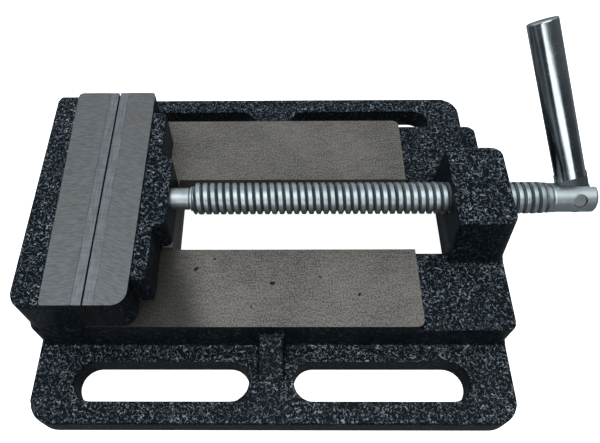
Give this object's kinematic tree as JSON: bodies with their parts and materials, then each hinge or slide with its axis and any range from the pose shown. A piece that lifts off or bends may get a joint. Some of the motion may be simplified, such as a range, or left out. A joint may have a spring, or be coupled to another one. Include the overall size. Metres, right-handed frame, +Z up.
{
  "type": "drill press vise",
  "caption": "Low cast-iron machine vise with a slotted flange, a sliding jaw on a flat bed and a long lead screw turned by a folding handle.",
  "frame": {"origin": "centre of the whole vise's plan, jaws closed, on the plane that the base stands on", "axes": "+X along the lead screw from the fixed jaw to the handle, +Y across the jaws, +Z up"},
  "size_m": [0.2252, 0.166, 0.096],
  "materials": {
    "painted_iron": "black and blue hammertone paint, semi-gloss, with milled bare faces on the ways and jaw tops",
    "ground_steel": "ground steel with fine cross marks",
    "zinc_plate": "bright zinc plate, slightly blue",
    "black_steel": "black oxide"
  },
  "bodies": {
    "base": {"base_casting": "painted_iron", "fixed_jaw_plate": "ground_steel", "fixed_plate_screw_near": "black_steel", "fixed_plate_screw_far": "black_steel"},
    "jaw": {"movable_jaw": "painted_iron", "movable_jaw_plate": "ground_steel", "movable_plate_screw_near": "black_steel", "movable_plate_screw_far": "black_steel", "keeper_plate": "ground_steel", "keeper_bolt_near": "zinc_plate", "keeper_bolt_far": "zinc_plate", "flat_washer_near": "zinc_plate", "flat_washer_far": "zinc_plate", "spring_washer_near": "zinc_plate", "spring_washer_far": "zinc_plate", "retaining_pin_near": "ground_steel", "retaining_pin_far": "ground_steel"},
    "screw": {"lead_screw": "zinc_plate", "hinge_pin": "zinc_plate"},
    "handle": {"handle_bar": "zinc_plate"}
  },
  "joints": [
    {"name": "jaw_slide", "type": "slide", "parent": "base", "child": "jaw", "axis": [1, 0, 0], "range_m": [0, 0.102]},
    {"name": "screw_turn", "type": "hinge", "parent": "jaw", "child": "screw", "pos_m": [0, 0, 0.0414], "axis": [1, 0, 0], "range_deg": [0, 12240]},
    {"name": "handle_fold", "type": "hinge", "parent": "screw", "child": "handle", "pos_m": [0.10535, 0, 0.0414], "axis": [0, 0.7431, -0.6691], "range_deg": [0, 214.6]}
  ],
  "couplings": [
    {"joint": "jaw_slide", "follows": "screw_turn", "m_per_rad": 0.00047746}
  ]
}
